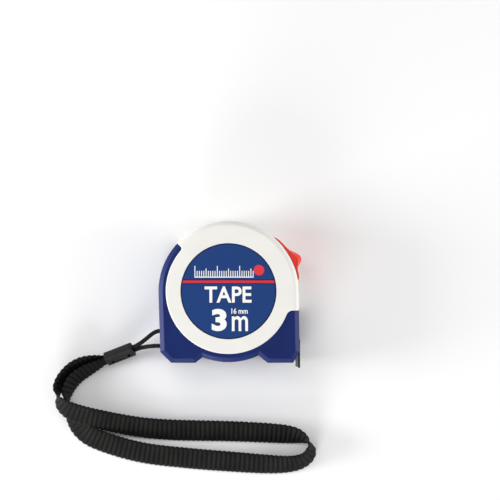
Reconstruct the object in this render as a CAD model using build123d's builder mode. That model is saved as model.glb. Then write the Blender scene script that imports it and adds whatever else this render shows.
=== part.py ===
from build123d import *
import math
import os

os.makedirs("parts", exist_ok=True)

# A pocket tape measure lying on its back: the label faces +Z, the blade runs out along +X
# and the base of the case faces -Y. The origin is on the spool's axis at the rest plane.

# ---- driving dimensions, mm and degrees ----
blade_w = 16.0            # blade width
blade_t = 0.2             # blade thickness with its coating
coil_r = 21.4             # outside of the wound blade
drum_r = 17.3             # outside of the drum, inside of the wound blade
drum_wall = 1.0
flange_r = 22.6           # spool flanges
flange_t = 1.0
case_t = 28.0             # overall thickness of the case
case_r = 31.3             # round of the case
front_x = 31.8            # front wall at its foot
back_x = -30.5            # back wall at its foot
foot_y = -32.0            # plane of the two feet
foot_chamfer = 4.9        # corner chamfers beside the feet, along Y
back_foot = (-25.6, -14.8)    # back foot, from and to along X
front_foot = (17.4, 28.9)     # front foot
belly_r = 31.7            # round underside between the feet
belly_from, belly_to = -11.6, 13.4
bevel = 1.9               # bevel round the jacket's faces
shell_round = 2.2         # rounded edge of the bare shell
grip_t = 1.6              # jacket thickness on the side walls
grip_face_t = 1.5         # jacket thickness on the faces
grip_drop = 0.5           # the disc stands this far proud of the jacket
disc_r = 28.0             # raised disc on each face
grip_start = 137.0        # the jacket's upper end at the back, degrees round the case
grip_top_y = -8.6         # its upper end at the front
shell_wall = 2.0          # shell wall inside the jacket
face_wall = 2.6           # the shells' faces
cavity_r = 28.1           # round bay of the spool
label_r = 21.4
label_t = 0.3
label_sink = 0.4          # depth of the front label's recess; the rear one is as deep as the label
post_r = 4.0
post_socket = 1.2         # how far the post enters each shell
running = 0.06            # radial clearance of what turns
side_gap = 0.3            # clearance between bodies that pass each other
washer_t = 0.8
lock_turn = 10.0          # travel of the lock round the spool's axis
lock_w = 15.0             # width of the lock's shoe
neck_w = 7.0              # width of its neck and arm
arm_r = 25.4              # inside of the lock arm
arm_t = 2.0
hook_t = 0.9              # hook sheet
hook_w = blade_w + 1.0
hook_play = 1.0           # the hook floats by its own measuring offset
hook_leg_y = -34.3        # end of the hook's leg
mouth_x = 29.6            # back wall of the hook's recess
screw_r = 1.1
screw_head_r = 2.2
screw_head_t = 1.6
screw_seat = 3.4          # depth of the heads' seats below the rear face
screw_end = 7.0           # how far the screws enter the front shell
boss_r = 3.0
cord_d = 2.0              # lanyard cord
cord_gap = 6.9            # between the cord's two holes
cord_z = 10.0             # height of the cord's holes, in the rear half
strap_t = 1.4             # webbing thickness
strap_w = 10.0
crimp_size = (13.7, 5.4, 4.4)
crimp_at = (-49.1, -28.5)
crimp_turn = 21.6
crimp_roll = 50.0
crimp_pitch = 10.0

# ---- levels and places worked out from them ----
mid_z = case_t / 2
blade_z = (mid_z - blade_w / 2, mid_z + blade_w / 2)
blade_y = -(coil_r + 0.1)         # printed face of the blade where it leaves the coil
blade_under = blade_y - blade_t
plate_under = blade_under - hook_t
inner_z = (face_wall, case_t - face_wall)
flange_gap = 0.2                  # between the blade's edge and a flange
flange_z = (blade_z[0] - flange_gap - flange_t, blade_z[1] + flange_gap)
mouth_z = (blade_z[0] - 0.5, blade_z[1] + 0.5)
recess_z = (mid_z - hook_w / 2 - 0.9, mid_z + hook_w / 2 + 0.9)
recess_top = blade_y + 2.4
leg_x = (front_x - hook_t + 0.2, front_x + 0.2)
screws = [
    (26.2 * math.cos(math.radians(124)), 26.2 * math.sin(math.radians(124))),
    (26.2 * math.cos(math.radians(68)), 26.2 * math.sin(math.radians(68))),
    (-17.4, foot_y + 6.2),
    (22.0, foot_y + 4.2),
]
pin_at = (-24.8, -21.25)
pin_r = 2.0
cord_y = (pin_at[1] + cord_gap / 2, pin_at[1] - cord_gap / 2)
pad_x = (13.6, 19.4)
pad_y = (blade_y + 0.3, blade_y + 2.2)
step_x = 20.2                     # the guide steps down here to clear the hook's plate
plate_back_x = step_x + 0.6
guide_t = 1.4
bumper_x = (28.2, leg_x[0] - side_gap)
bumper_y = (foot_y + 4.5, plate_under - 0.7 - guide_t - 0.2)
bumper_z = (mid_z - 6.0, mid_z + 6.0)


def on_circle(radius, degrees):
    return (radius * math.cos(math.radians(degrees)), radius * math.sin(math.radians(degrees)))


# ---- outlines in plan ----
with BuildSketch() as outline:
    with BuildLine():
        CenterArc((0, 0), case_r, 0, 180)
        Polyline(
            (-case_r, 0),
            (back_x, foot_y + foot_chamfer),
            (back_foot[0], foot_y),
            (back_foot[1], foot_y),
            (belly_from, -math.sqrt(belly_r**2 - belly_from**2)),
        )
        ThreePointArc(
            (belly_from, -math.sqrt(belly_r**2 - belly_from**2)),
            (0, -belly_r),
            (belly_to, -math.sqrt(belly_r**2 - belly_to**2)),
        )
        Polyline(
            (belly_to, -math.sqrt(belly_r**2 - belly_to**2)),
            (front_foot[0], foot_y),
            (front_foot[1], foot_y),
            (front_x, foot_y + foot_chamfer),
            (case_r, 0),
        )
    make_face()

# The jacket's zone: everything below its two ends and outside the raised disc.
with BuildSketch() as grip_zone:
    with BuildLine():
        Polyline(
            (0, 0), on_circle(60, grip_start), (-60, -60), (60, -60), (60, grip_top_y),
            (20, grip_top_y), close=True,
        )
    make_face()
    Circle(disc_r, mode=Mode.SUBTRACT)
    ends = [v for v in grip_zone.vertices() if abs(math.hypot(v.X, v.Y) - disc_r) < 0.01]
    fillet([v for v in ends if v.X > 0], 3.0)
    ends = [v for v in grip_zone.vertices() if abs(math.hypot(v.X, v.Y) - disc_r) < 0.01]
    fillet([v for v in ends if v.X < 0], 1.2)

with BuildSketch() as inner_outline:
    offset(outline.sketch, amount=-grip_t)

with BuildSketch() as cavity:
    offset(outline.sketch, amount=-(grip_t + shell_wall))
    Circle(cavity_r)


# ---- solids that several pieces share ----
with BuildPart() as bevelled_case:
    with BuildSketch(Plane.XY.offset(grip_drop)):
        add(outline.sketch)
    extrude(amount=case_t - 2 * grip_drop)
    rims = bevelled_case.edges().group_by(Axis.Z)
    chamfer(rims[0] + rims[-1], bevel)

with BuildPart() as rounded_case:
    with BuildSketch():
        add(outline.sketch)
    extrude(amount=case_t)
    rims = rounded_case.edges().group_by(Axis.Z)
    fillet(rims[0] + rims[-1], shell_round)

# The jacket as one closed band; each half keeps its own side of the parting plane.
with BuildPart() as jacket:
    add(bevelled_case.part)
    with BuildSketch():
        add(grip_zone.sketch)
    extrude(amount=case_t, mode=Mode.INTERSECT)
    with BuildSketch(Plane.XY.offset(grip_drop + grip_face_t)):
        add(inner_outline.sketch)
    extrude(amount=case_t - 2 * (grip_drop + grip_face_t), mode=Mode.SUBTRACT)

# What the jacket takes away from the shells: its own zone, less the core inside it.
with BuildPart() as jacket_seat:
    with BuildSketch(Plane.XY.offset(-1)):
        add(grip_zone.sketch)
    extrude(amount=case_t + 2)
    with BuildSketch(Plane.XY.offset(grip_drop + grip_face_t)):
        add(inner_outline.sketch)
    extrude(amount=case_t - 2 * (grip_drop + grip_face_t), mode=Mode.SUBTRACT)

# The hook's recess and the blade's slot, cut through jacket and shells.
with BuildPart() as mouth:
    with BuildSketch(Plane.XY.offset(recess_z[0])):
        with Locations((mouth_x, recess_top)):
            Rectangle(20, 40, align=(Align.MIN, Align.MAX))
    extrude(amount=recess_z[1] - recess_z[0])
    with BuildSketch(Plane.XY.offset(mouth_z[0])):
        with Locations((step_x, recess_top)):
            Rectangle(20, recess_top - plate_under + 0.8, align=(Align.MIN, Align.MAX))
    extrude(amount=mouth_z[1] - mouth_z[0])

# The cord's two holes in the back wall, in the rear half of the case.
with BuildPart() as cord_holes:
    for y in cord_y:
        with BuildSketch(Plane.YZ.offset(-40)):
            with Locations((y, cord_z)):
                Circle(cord_d / 2 + 0.3)
        extrude(amount=14)

# The slot that the lock's neck slides in.
with BuildPart() as lock_slot:
    with BuildSketch(Plane.XY.offset(mid_z - neck_w / 2 - side_gap)):
        with BuildLine():
            Polyline((0, 0), on_circle(45, 10.5), on_circle(45, 39.0), close=True)
        make_face()
        Circle(arm_r, mode=Mode.SUBTRACT)
    extrude(amount=neck_w + 2 * side_gap)


def guide_outline():
    """Plan of the stepped guide under the blade."""
    return [
        (12.0, blade_under - 0.25),
        (step_x, blade_under - 0.25),
        (step_x, plate_under - 0.7),
        (mouth_x - 0.2, plate_under - 0.7),
        (mouth_x - 0.2, plate_under - 0.7 - guide_t),
        (12.0, plate_under - 0.7 - guide_t),
    ]


# One shell of the case: walls, face, bosses and seats; into is +1 or -1 towards its face.
def half_shell(z_from, z_to, face_z, into, sink):
    with BuildPart() as half:
        add(rounded_case.part)
        with BuildSketch(Plane.XY.offset(z_from)):
            Rectangle(90, 90)
        extrude(amount=z_to - z_from, mode=Mode.INTERSECT)
        # hollow
        with BuildSketch(Plane.XY.offset(mid_z)):
            add(cavity.sketch)
        extrude(amount=into * (mid_z - face_wall), mode=Mode.SUBTRACT)
        # the label's recess
        with BuildSketch(Plane.XY.offset(face_z)):
            Circle(label_r + 0.05)
        extrude(amount=-into * sink, mode=Mode.SUBTRACT)
        # hub round the post, and its socket
        hub_h = inner_z[0]
        wall_z = mid_z + into * (mid_z - face_wall)
        with BuildSketch(Plane.XY.offset(wall_z)):
            Circle(post_r + 2.5)
        extrude(amount=-into * (flange_z[0] - 0.1 - washer_t - hub_h - 0.1))
        with BuildSketch(Plane.XY.offset(wall_z + into * post_socket)):
            Circle(post_r)
        extrude(amount=-into * 6, mode=Mode.SUBTRACT)
        # screw bosses
        with BuildSketch(Plane.XY.offset(mid_z)):
            with Locations(*screws):
                Circle(boss_r)
        extrude(amount=into * (mid_z - face_wall))
        # ribs under the guide and cheeks beside the mouth
        with BuildSketch(Plane.XY.offset(mid_z)):
            with BuildLine():
                Polyline(
                    (12.0, plate_under - 0.7 - guide_t), (30.2, plate_under - 0.7 - guide_t),
                    (30.2, foot_y + 3.4), (12.0, foot_y + 3.4), close=True,
                )
            make_face()
        extrude(amount=into * (mid_z - face_wall))
        with BuildSketch(Plane.XY.offset(mid_z + into * (mouth_z[1] - mid_z))):
            with Locations((23.2, recess_top + 4.0)):
                Rectangle(6.6, recess_top + 4.0 - foot_y - 4, align=(Align.MIN, Align.MAX))
        extrude(amount=into * (case_t - face_wall - mouth_z[1]))
        with BuildSketch(Plane.XY.offset(mid_z)):
            with Locations((27.2, recess_top + 4.0)):
                Rectangle(2.6, 4.0, align=(Align.MIN, Align.MAX))
        extrude(amount=into * (mid_z - face_wall))
        # bosses that hold the lanyard pin
        with BuildSketch(Plane.XY.offset(wall_z)):
            with Locations(pin_at):
                Circle(pin_r + 1.4)
        extrude(amount=-into * 3.0)
        with BuildSketch(Plane.XY.offset(wall_z)):
            with Locations(pin_at):
                Circle(pin_r)
        extrude(amount=-into * 3.0, mode=Mode.SUBTRACT)
        # seats of the guide and the bumper, the mouth, the cord's holes and the lock's slot
        with BuildSketch(Plane.XY.offset(mouth_z[0])):
            with BuildLine():
                Polyline(*guide_outline(), close=True)
            make_face()
        extrude(amount=mouth_z[1] - mouth_z[0], mode=Mode.SUBTRACT)
        with BuildSketch(Plane.XY.offset(bumper_z[0])):
            with Locations((bumper_x[0], bumper_y[0])):
                Rectangle(10, bumper_y[1] - bumper_y[0], align=(Align.MIN, Align.MIN))
        extrude(amount=bumper_z[1] - bumper_z[0], mode=Mode.SUBTRACT)
        add(mouth.part, mode=Mode.SUBTRACT)
        add(cord_holes.part, mode=Mode.SUBTRACT)
        add(lock_slot.part, mode=Mode.SUBTRACT)
        add(jacket_seat.part, mode=Mode.SUBTRACT)
        rim = [e for e in half.edges().filter_by(GeomType.CIRCLE)
               if abs(e.radius - disc_r) < 0.01 and abs(e.center().Z - face_z) < 0.01]
        fillet(rim, grip_drop - 0.1)
    return half.part


# ---- case ----
with BuildPart() as rear_shell:
    add(half_shell(0, mid_z, 0, -1, label_t))
    with BuildSketch():
        with Locations(*screws):
            Circle(screw_head_r + 0.2)
    extrude(amount=screw_seat, mode=Mode.SUBTRACT)
    with BuildSketch():
        with Locations(*screws):
            Circle(screw_r + 0.15)
    extrude(amount=mid_z, mode=Mode.SUBTRACT)
rear_shell.part.label = "rear_shell"

with BuildPart() as front_shell:
    add(half_shell(mid_z, case_t, case_t, 1, label_sink))
    with BuildSketch(Plane.XY.offset(mid_z)):
        with Locations(*screws):
            Circle(screw_r)
    extrude(amount=screw_end + 1, mode=Mode.SUBTRACT)
front_shell.part.label = "front_shell"


def half_jacket(z_from, z_to):
    """One half of the soft jacket."""
    with BuildPart() as half:
        add(jacket.part)
        with BuildSketch(Plane.XY.offset(z_from)):
            Rectangle(90, 90)
        extrude(amount=z_to - z_from, mode=Mode.INTERSECT)
        add(mouth.part, mode=Mode.SUBTRACT)
        add(cord_holes.part, mode=Mode.SUBTRACT)
    return half.part


with BuildPart() as rear_grip:
    add(half_jacket(0, mid_z))
    with BuildSketch():
        with Locations(*screws):
            Circle(screw_head_r + 0.2)
    extrude(amount=5, mode=Mode.SUBTRACT)
rear_grip.part.label = "rear_grip"

with BuildPart() as front_grip:
    add(half_jacket(mid_z, case_t))
front_grip.part.label = "front_grip"

with BuildPart() as front_label:
    with BuildSketch(Plane.XY.offset(case_t - label_sink)):
        Circle(label_r)
    extrude(amount=label_t)
front_label.part.label = "front_label"

with BuildPart() as rear_label:
    with BuildSketch():
        Circle(label_r)
    extrude(amount=label_t)
rear_label.part.label = "rear_label"

with BuildPart() as case_screws:
    with BuildSketch(Plane.XY.offset(screw_seat - screw_head_t)):
        with Locations(*screws):
            Circle(screw_head_r)
    extrude(amount=screw_head_t)
    with BuildSketch(Plane.XY.offset(screw_seat)):
        with Locations(*screws):
            Circle(screw_r)
    extrude(amount=mid_z + screw_end - screw_seat)
    with BuildSketch(Plane.XY.offset(screw_seat - screw_head_t)):
        for x, y in screws:
            with Locations((x, y)):
                Rectangle(2.6, 0.6)
                Rectangle(0.6, 2.6)
    extrude(amount=0.9, mode=Mode.SUBTRACT)
case_screws.part.label = "case_screws"

# ---- spool ----
with BuildPart() as centre_post:
    with BuildSketch(Plane.XY.offset(inner_z[0] - post_socket)):
        Circle(post_r)
    extrude(amount=case_t - 2 * (inner_z[0] - post_socket))
    with BuildSketch(Plane.XY.offset(mid_z - 7.4)):
        Rectangle(post_r + 1, 0.7, align=(Align.MIN, Align.CENTER))
    extrude(amount=14.8, mode=Mode.SUBTRACT)
centre_post.part.label = "centre_post"

for name, z in (("rear_thrust_washer", flange_z[0] - 0.1 - washer_t),
                ("front_thrust_washer", flange_z[1] + flange_t + 0.1)):
    with BuildPart() as washer:
        with BuildSketch(Plane.XY.offset(z)):
            Circle(post_r + 2.3)
            Circle(post_r + 0.1, mode=Mode.SUBTRACT)
        extrude(amount=washer_t)
    washer.part.label = name
    export_step(washer.part, f"parts/{name}.step")

with BuildPart() as spool_drum:
    with BuildSketch(Plane.XY.offset(flange_z[0])):
        Circle(flange_r)
    extrude(amount=flange_t)
    with BuildSketch(Plane.XY.offset(flange_z[0] + flange_t)):
        Circle(drum_r)
        Circle(drum_r - drum_wall, mode=Mode.SUBTRACT)
    extrude(amount=flange_z[1] - flange_z[0] - flange_t)
    with BuildSketch(Plane.XY.offset(flange_z[0])):
        Circle(post_r + running)
        with PolarLocations(10.5, 5):
            Circle(3.2)
    extrude(amount=flange_t, mode=Mode.SUBTRACT)
spool_drum.part.label = "spool_drum"

with BuildPart() as spool_flange:
    with BuildSketch(Plane.XY.offset(flange_z[1])):
        Circle(flange_r)
        Circle(post_r + running, mode=Mode.SUBTRACT)
        with PolarLocations(10.5, 5, start_angle=36):
            Circle(3.2, mode=Mode.SUBTRACT)
    extrude(amount=flange_t)
spool_flange.part.label = "spool_flange"

with BuildPart() as blade_coil:
    with BuildSketch(Plane.XY.offset(blade_z[0])):
        Circle(coil_r)
        Circle(drum_r, mode=Mode.SUBTRACT)
    extrude(amount=blade_w)
blade_coil.part.label = "blade_coil"

# The return spring: half turns whose radii shrink from the drum's wall to the post.
spring_w = blade_w - 2.0   # width of the spring strip
spring_t = 0.35
spring_turns = 7
spring_out = drum_r - drum_wall
spring_pitch = (spring_out - post_r - 1.2) / spring_turns
with BuildPart() as return_spring:
    with BuildSketch(Plane.XY.offset(mid_z - spring_w / 2)):
        with BuildLine() as coil_line:
            radius, x = spring_out - spring_t / 2, spring_out - spring_t / 2
            for half in range(2 * spring_turns):
                side = 1 if half % 2 == 0 else -1
                nearer = x - side * 2 * (radius - spring_pitch / 4)
                middle = (x + nearer) / 2
                CenterArc((middle, 0), abs(x - nearer) / 2, 0 if side > 0 else 180, 180)
                x, radius = nearer, radius - spring_pitch / 2
            Line((x, 0), (post_r - 1.6, 0))
        trace(line_width=spring_t)
    extrude(amount=spring_w)
return_spring.part.label = "return_spring"

# ---- blade and hook ----
rivet_r = 0.9
rivets = [(27.4, mid_z - 4.2), (27.4, mid_z + 4.2), (23.8, mid_z)]

with BuildPart() as blade_lead:
    with BuildSketch(Plane.XY.offset(blade_z[0])):
        with Locations((2.0, blade_y)):
            Rectangle(leg_x[0] - 0.2 - 2.0, blade_t, align=(Align.MIN, Align.MAX))
    extrude(amount=blade_w)
    with BuildSketch(Plane.XZ.offset(-blade_y - 1)):
        with Locations(*rivets):
            Circle(rivet_r)
    extrude(amount=4, mode=Mode.SUBTRACT)
blade_lead.part.label = "blade_lead"

with BuildPart() as hook_rivets:
    with BuildSketch(Plane.XZ.offset(-blade_y - 0.4)):
        with Locations(*rivets):
            Circle(1.7)
    extrude(amount=0.4)
    with BuildSketch(Plane.XZ.offset(-blade_y)):
        with Locations(*rivets):
            Circle(rivet_r)
    extrude(amount=blade_t + hook_t + 0.05)
    with BuildSketch(Plane.XZ.offset(-plate_under + 0.05)):
        with Locations(*rivets):
            Circle(1.7)
    extrude(amount=0.4)
hook_rivets.part.label = "hook_rivets"

with BuildPart() as end_hook:
    with BuildSketch(Plane.XY.offset(mid_z - hook_w / 2)):
        with BuildLine():
            Polyline(
                (plate_back_x, blade_under - 0.02), (leg_x[1], blade_under - 0.02),
                (leg_x[1], hook_leg_y), (leg_x[0], hook_leg_y),
                (leg_x[0], plate_under), (plate_back_x, plate_under), close=True,
            )
        make_face()
    extrude(amount=hook_w)
    # gussets folded back at both edges of the leg
    for z in (mid_z - hook_w / 2, mid_z + hook_w / 2 - hook_t):
        with BuildSketch(Plane.XY.offset(z)):
            with BuildLine():
                Polyline(
                    (leg_x[0] + 0.1, plate_under - 1.4), (mouth_x + 0.4, plate_under - 2.4),
                    (mouth_x + 0.4, hook_leg_y + 0.5), (leg_x[0] + 0.1, hook_leg_y + 0.3),
                    close=True,
                )
            make_face()
        extrude(amount=hook_t)
    # slots that let the hook float on its rivets
    with BuildSketch(Plane.XZ.offset(-blade_under - 1)):
        for x, z in rivets:
            with Locations((x - hook_play / 2, z)):
                SlotCenterToCenter(hook_play, 2 * (rivet_r + running))
    extrude(amount=4, mode=Mode.SUBTRACT)
end_hook.part.label = "end_hook"

with BuildPart() as blade_guide:
    with BuildSketch(Plane.XY.offset(mouth_z[0])):
        with BuildLine():
            Polyline(*guide_outline(), close=True)
        make_face()
    extrude(amount=mouth_z[1] - mouth_z[0])
blade_guide.part.label = "blade_guide"

with BuildPart() as hook_bumper:
    with BuildSketch(Plane.XY.offset(bumper_z[0])):
        with Locations((bumper_x[0], bumper_y[0])):
            Rectangle(bumper_x[1] - bumper_x[0], bumper_y[1] - bumper_y[0],
                      align=(Align.MIN, Align.MIN))
    extrude(amount=bumper_z[1] - bumper_z[0])
hook_bumper.part.label = "hook_bumper"

# ---- lock ----
neck_from, neck_to = 21.5, 38.0


def ring_sector(r_in, r_out, a_from, a_to):
    """A closed sector of a ring."""
    with BuildSketch() as sector:
        with BuildLine():
            CenterArc((0, 0), r_out, a_from, a_to - a_from)
            CenterArc((0, 0), r_in, a_from, a_to - a_from)
            Line(on_circle(r_in, a_from), on_circle(r_out, a_from))
            Line(on_circle(r_in, a_to), on_circle(r_out, a_to))
        make_face()
    return sector.sketch


shoe_r = case_r + 0.2
low_ridge = [(49.5, 0.25), (41.5, 0.75), (34.0, 1.15), (29.0, 2.0), (25.5, 2.6), (23.0, 2.4),
             (18.5, 1.0), (12.5, 0.75), (9.2, 0.25)]
high_ridge = [(49.5, 0.3), (41.5, 0.85), (34.0, 1.5), (28.2, 3.7), (25.0, 4.3), (22.6, 3.7),
              (18.5, 1.3), (12.5, 0.85), (9.2, 0.3)]


def shoe_outline(ridge):
    """The lock's shoe in plan: round inside, with its thumb ridge outside."""
    with BuildSketch() as shoe:
        with BuildLine():
            Spline([on_circle(shoe_r + rise, angle) for angle, rise in ridge])
            Line(on_circle(shoe_r + ridge[0][1], ridge[0][0]), on_circle(shoe_r, ridge[0][0]))
            CenterArc((0, 0), shoe_r, ridge[-1][0], ridge[0][0] - ridge[-1][0])
            Line(on_circle(shoe_r + ridge[-1][1], ridge[-1][0]), on_circle(shoe_r, ridge[-1][0]))
        make_face()
    return shoe.sketch


with BuildPart() as lock_button:
    shoe_levels = (mid_z - lock_w / 2, mid_z - lock_w / 2 + 2.4,
                   mid_z + lock_w / 2 - 2.4, mid_z + lock_w / 2)
    for z, ridge in zip(shoe_levels, (low_ridge, high_ridge, high_ridge, low_ridge)):
        with BuildSketch(Plane.XY.offset(z)):
            add(shoe_outline(ridge))
    loft(ruled=True)
    with BuildSketch(Plane.XY.offset(mid_z - neck_w / 2)):
        add(ring_sector(arm_r + arm_t, shoe_r + 0.2, neck_from, neck_to))
    extrude(amount=neck_w)
lock_button.part.label = "lock_button"

arm_end = -34.0
with BuildPart() as lock_arm:
    with BuildSketch(Plane.XY.offset(mid_z - neck_w / 2)):
        add(ring_sector(arm_r, arm_r + arm_t, arm_end, neck_to))
    extrude(amount=neck_w)
lock_arm.part.label = "lock_arm"

# The pad is drawn where it meets the blade, then swung back by the lock's travel.
with BuildPart() as pad_engaged:
    with BuildSketch(Plane.XY.offset(mid_z - neck_w / 2)):
        with BuildLine():
            Polyline(
                (pad_x[0], pad_y[0]), (pad_x[1], pad_y[0]),
                on_circle(arm_r + arm_t, arm_end - lock_turn),
                on_circle(arm_r, arm_end - lock_turn),
                (pad_x[0], pad_y[1]), close=True,
            )
        make_face()
    extrude(amount=neck_w)
with BuildPart() as brake_pad:
    add(pad_engaged.part.rotate(Axis.Z, lock_turn))
brake_pad.part.label = "brake_pad"

# ---- lanyard ----
with BuildPart() as strap_pin:
    with BuildSketch(Plane.XY.offset(inner_z[0])):
        with Locations(pin_at):
            Circle(pin_r)
    extrude(amount=inner_z[1] - inner_z[0])
strap_pin.part.label = "strap_pin"

# The crimp: a box rolled onto one edge, its end towards the case held up by the cord.
crimp_l, crimp_w, crimp_h = crimp_size
roll = math.radians(crimp_roll)
pitch = math.radians(crimp_pitch)
crimp_z = ((crimp_w * math.sin(roll) + crimp_h * math.cos(roll)) * math.cos(pitch)
           + crimp_l * math.sin(pitch)) / 2 + 0.05
along = Vector(*on_circle(math.cos(pitch), crimp_turn), math.sin(pitch))
level = Vector(*on_circle(1, crimp_turn + 90), 0)
crimp_up = level * -math.sin(roll) + along.cross(level) * math.cos(roll)
crimp_plane = Plane((*crimp_at, crimp_z), x_dir=along, z_dir=crimp_up)

with BuildPart() as crimp_body:
    with BuildSketch(crimp_plane.offset(-crimp_h / 2)):
        RectangleRounded(crimp_l, crimp_w, 0.8)
    extrude(amount=crimp_h / 2 + 0.5)
crimp_body.part.label = "crimp_body"

with BuildPart() as crimp_cap:
    with BuildSketch(crimp_plane.offset(0.5)):
        RectangleRounded(crimp_l, crimp_w, 0.8)
    extrude(amount=crimp_h / 2 - 0.5)
crimp_cap.part.label = "crimp_cap"

# The cord leaves the crimp, goes in through one hole, round the pin and back out of the other.
cord_points = [
    (-43.21, -25.4, 6.74),
    (-40.83, -24.46, 7.19),
    (-36.9, -21.4, 8.5),
    (-34.0, -18.9, 9.6),
    (-31.2, cord_y[0], cord_z),
    (pin_at[0] + cord_gap / 2, cord_y[0] + 0.05, cord_z),
    (pin_at[0] + cord_gap / 2, cord_y[1] - 0.05, cord_z),
    (-31.2, cord_y[1], cord_z),
    (-33.9, -24.75, 9.5),
    (-37.2, -25.15, 7.6),
    (-40.15, -25.7, 5.57),
    (-42.42, -26.62, 5.09),
]


def bend_radii(points):
    """One radius for each inner point of a route: 0.45 of the shorter run over tan(turn / 2)."""
    radii = []
    for a, b, c in zip(points, points[1:], points[2:]):
        first, second = Vector(b) - Vector(a), Vector(c) - Vector(b)
        half_turn = math.radians(first.get_angle(second)) / 2
        radii.append(0.45 * min(first.length, second.length) / math.tan(half_turn))
    return radii


cord_radii = bend_radii(cord_points)
with BuildPart() as lanyard_cord:
    with BuildLine() as cord_path:
        FilletPolyline(*cord_points, radius=cord_radii)
    cord_wire = cord_path.wire()
    with BuildSketch(Plane(cord_wire @ 0, z_dir=cord_wire % 0)):
        Circle(cord_d / 2)
    sweep(path=cord_wire)
lanyard_cord.part.label = "lanyard_cord"
print("cord radii", [round(r, 1) for r in cord_radii])
print("cord length", round(cord_wire.length, 1), "volume", round(lanyard_cord.part.volume, 1),
      "section times length", round(math.pi * cord_d**2 / 4 * cord_wire.length, 1))

# The webbing's stations from the crimp round the loop and back: x, y, how far its upper edge
# leans from the left of travel (90 is upright), lift off the surface, width.
strap_stations = [
    (-55.2, -30.4, 130, 0.45, 4.4),
    (-56.9, -30.85, 128, 0.4, 4.8),
    (-59.8, -31.0, 124, 0.2, 6.4),
    (-63.4, -31.4, 120, 0.1, 8.4),
    (-67.3, -32.6, 118, 0.1, strap_w),
    (-71.0, -35.0, 120, 0.1, strap_w),
    (-73.8, -38.2, 122, 0.1, strap_w),
    (-76.0, -41.6, 120, 0.3, strap_w),
    (-76.9, -45.2, 116, 1.0, strap_w),
    (-76.9, -48.7, 70, 2.6, strap_w),
    (-74.4, -52.1, 48, 4.4, strap_w),
    (-69.6, -54.8, 35, 5.6, strap_w),
    (-63.6, -56.5, 35, 5.4, strap_w),
    (-57.3, -58.0, 33, 3.8, strap_w),
    (-50.4, -59.6, 31, 2.0, strap_w),
    (-42.3, -61.1, 29, 0.7, strap_w),
    (-33.9, -62.2, 27, 0.1, strap_w),
    (-23.0, -62.8, 26, 0.1, strap_w),
    (-12.0, -63.0, 27, 0.1, strap_w),
    (-1.0, -63.2, 28, 0.1, strap_w),
    (9.6, -63.6, 30, 0.1, strap_w),
    (19.4, -64.1, 32, 0.1, strap_w),
    (26.5, -64.6, 37, 0.1, strap_w),
    (31.4, -65.4, 50, 0.1, strap_w),
    (34.9, -67.0, 70, 0.1, strap_w),
    (36.8, -69.0, 96, 0.1, strap_w),
    (37.3, -71.5, 116, 0.1, strap_w),
    (36.2, -74.6, 124, 0.1, strap_w),
    (32.6, -77.1, 130, 0.1, strap_w),
    (27.0, -78.2, 136, 0.1, strap_w),
    (19.4, -78.2, 143, 0.1, strap_w),
    (9.6, -77.6, 149, 0.1, strap_w),
    (-1.2, -76.8, 152, 0.1, strap_w),
    (-12.0, -76.0, 153, 0.1, strap_w),
    (-23.4, -74.9, 153, 0.1, strap_w),
    (-34.0, -73.8, 153, 0.1, strap_w),
    (-42.6, -72.2, 153, 0.1, strap_w),
    (-50.4, -70.0, 153, 0.1, strap_w),
    (-57.6, -67.6, 152, 0.1, strap_w),
    (-62.9, -65.3, 150, 0.1, strap_w),
    (-66.4, -62.4, 147, 0.1, strap_w),
    (-69.0, -58.6, 141, 0.1, strap_w),
    (-71.1, -54.6, 122, 0.1, strap_w),
    (-72.3, -50.6, 94, 0.1, strap_w),
    (-73.2, -47.2, 66, 0.1, strap_w),
    (-71.4, -42.4, 58, 0.1, strap_w),
    (-68.3, -38.7, 56, 0.1, strap_w),
    (-64.3, -36.1, 56, 0.1, 9.2),
    (-60.5, -34.1, 56, 0.3, 7.6),
    (-57.3, -32.4, 54, 1.0, 5.4),
    (-55.0, -31.65, 50, 1.4, 4.4),
]


def strap_planes(stations):
    """A plane for each station, across the webbing, and its width there."""
    for n, (x, y, lean, lift, width) in enumerate(stations):
        before, after = stations[max(n - 1, 0)], stations[min(n + 1, len(stations) - 1)]
        forward = Vector(after[0] - before[0], after[1] - before[1], 0).normalized()
        left = Vector(-forward.Y, forward.X, 0)
        tilt = math.radians(lean)
        across = left * math.cos(tilt) + Vector(0, 0, math.sin(tilt))
        z = (width * math.sin(tilt) + strap_t * abs(math.cos(tilt))) / 2 + lift
        yield Plane((x, y, z), x_dir=across, z_dir=forward), width


# both ends of the webbing butt against the crimp, one layer beside the other
strap_sections = list(strap_planes(strap_stations))
crimp_end = crimp_plane.origin - along * (crimp_l / 2)
for n, side in ((0, -1), (-1, 1)):
    seat = Plane(crimp_end + crimp_up * (side * strap_t * 0.55),
                 x_dir=crimp_plane.y_dir, z_dir=along * side)
    strap_sections[n] = (seat, crimp_w - 0.4)

with BuildPart() as wrist_strap:
    for (here, width), (there, next_width) in zip(strap_sections, strap_sections[1:]):
        with BuildSketch(here):
            Rectangle(width, strap_t)
        with BuildSketch(there):
            Rectangle(next_width, strap_t)
        loft(ruled=True)
wrist_strap.part.label = "wrist_strap"

pieces = [
    rear_shell, front_shell, rear_grip, front_grip, front_label, rear_label, case_screws,
    centre_post, spool_drum, spool_flange, blade_coil, return_spring, blade_lead, hook_rivets,
    end_hook, blade_guide, hook_bumper, lock_button, lock_arm, brake_pad, strap_pin, crimp_body,
    crimp_cap, lanyard_cord, wrist_strap,
]
for piece in pieces:
    export_step(piece.part, f"parts/{piece.part.label}.step")
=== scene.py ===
import math

import bpy
from mathutils import Matrix, Vector


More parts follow.
